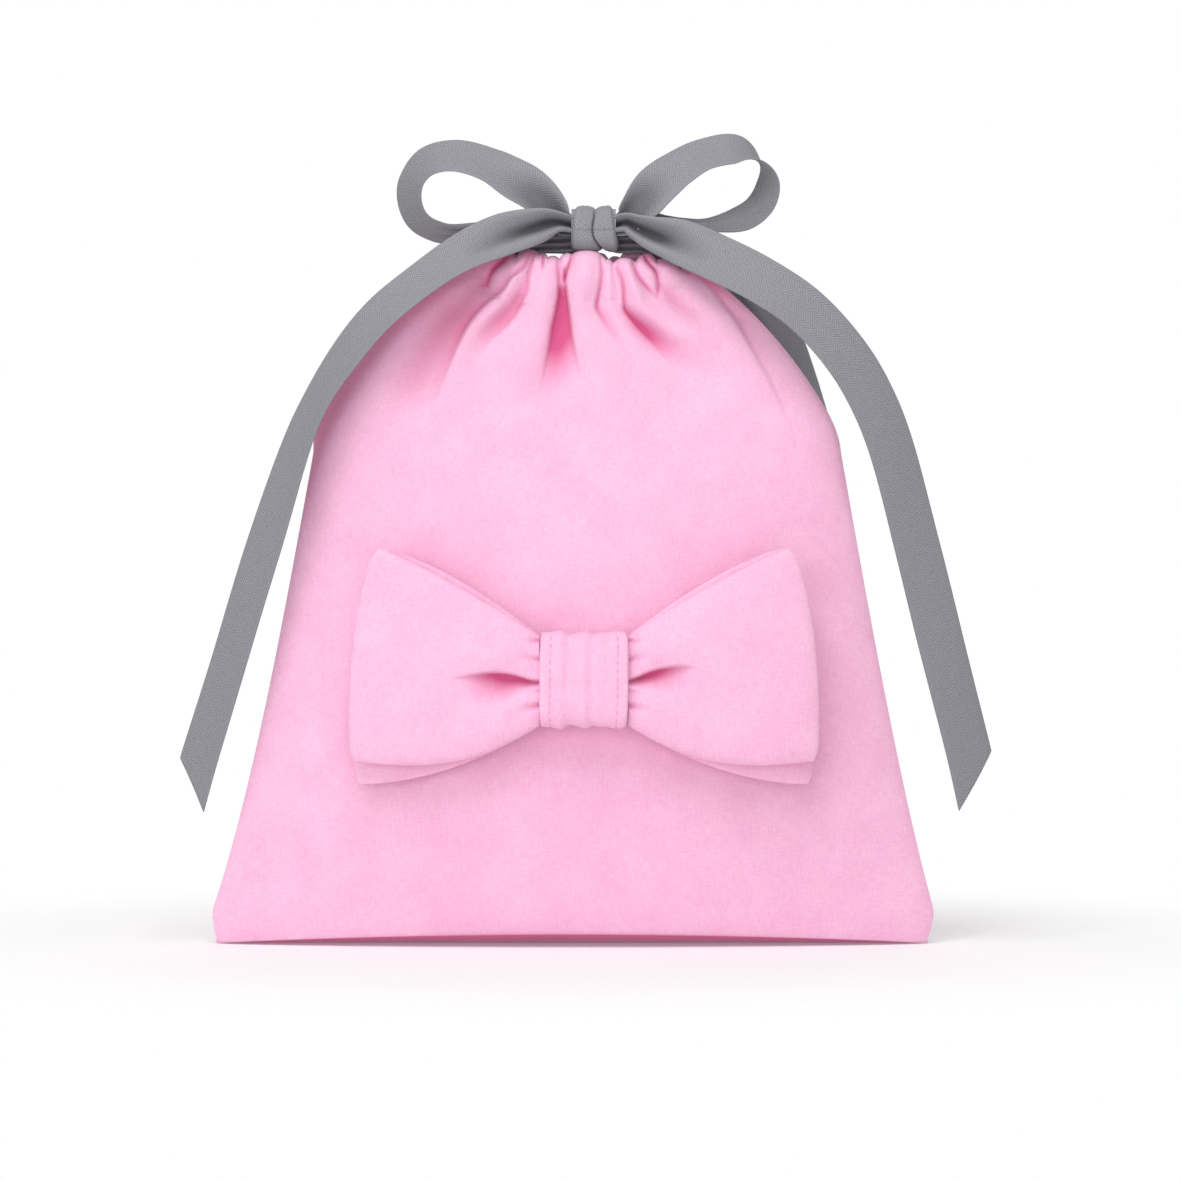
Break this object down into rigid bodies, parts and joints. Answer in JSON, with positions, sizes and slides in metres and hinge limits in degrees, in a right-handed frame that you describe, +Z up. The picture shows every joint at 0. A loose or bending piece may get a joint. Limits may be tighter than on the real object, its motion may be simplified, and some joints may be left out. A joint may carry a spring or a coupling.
{
  "type": "shoe bag",
  "caption": "Soft cloth drawstring shoe bag, gathered shut by a wide woven tape tied in a bow, with a padded cloth bow sewn to its front.",
  "frame": {"origin": "on the floor under the middle of the bottom seam", "axes": "+Z up, +X to the right seen from the front, the side with the sewn bow faces -Y"},
  "size_m": [0.342, 0.0894, 0.3385],
  "materials": {
    "cloth": "matte pink cotton cloth",
    "tape": "matte grey herringbone twill tape",
    "thread": "pink sewing thread"
  },
  "bodies": {
    "bag": {"front_panel": "cloth", "back_panel": "cloth", "left_seam": "cloth", "right_seam": "cloth", "bottom_seam": "cloth", "front_casing": "cloth", "back_casing": "cloth", "front_casing_tape": "tape", "back_casing_tape": "tape", "knot_core": "tape", "knot_wrap": "tape", "front_left_lead": "tape", "front_right_lead": "tape", "back_left_lead": "tape", "back_right_lead": "tape", "bow_core": "cloth", "bow_band": "cloth", "bow_tack": "thread"},
    "left_bow_wing": {"front_left_wing": "cloth", "rear_left_wing": "cloth"},
    "right_bow_wing": {"front_right_wing": "cloth", "rear_right_wing": "cloth"},
    "left_tape_loop": {"left_loop": "tape"},
    "right_tape_loop": {"right_loop": "tape"},
    "left_tape_tail": {"left_tail": "tape"},
    "right_tape_tail": {"right_tail": "tape"}
  },
  "joints": [
    {"name": "left_wing_lift", "type": "hinge", "parent": "bag", "child": "left_bow_wing", "pos_m": [-0.0183, -0.04462, 0.112], "axis": [0, 0, 1], "range_deg": [0, 35], "stiffness_Nm_per_rad": 0.05},
    {"name": "right_wing_lift", "type": "hinge", "parent": "bag", "child": "right_bow_wing", "pos_m": [0.0283, -0.04462, 0.112], "axis": [0, 0, -1], "range_deg": [0, 35], "stiffness_Nm_per_rad": 0.05},
    {"name": "left_loop_lift", "type": "hinge", "parent": "bag", "child": "left_tape_loop", "pos_m": [-0.00435, -0.007, 0.301], "axis": [0, 1, 0], "range_deg": [0, 25]},
    {"name": "right_loop_lift", "type": "hinge", "parent": "bag", "child": "right_tape_loop", "pos_m": [0.02235, -0.007, 0.301], "axis": [0, -1, 0], "range_deg": [0, 25]},
    {"name": "left_tail_swing", "type": "hinge", "parent": "bag", "child": "left_tape_tail", "pos_m": [-0.00435, -0.01, 0.301], "axis": [0, 1, 0], "range_deg": [0, 55]},
    {"name": "right_tail_swing", "type": "hinge", "parent": "bag", "child": "right_tape_tail", "pos_m": [0.02235, -0.01, 0.301], "axis": [0, -1, 0], "range_deg": [0, 55]}
  ]
}
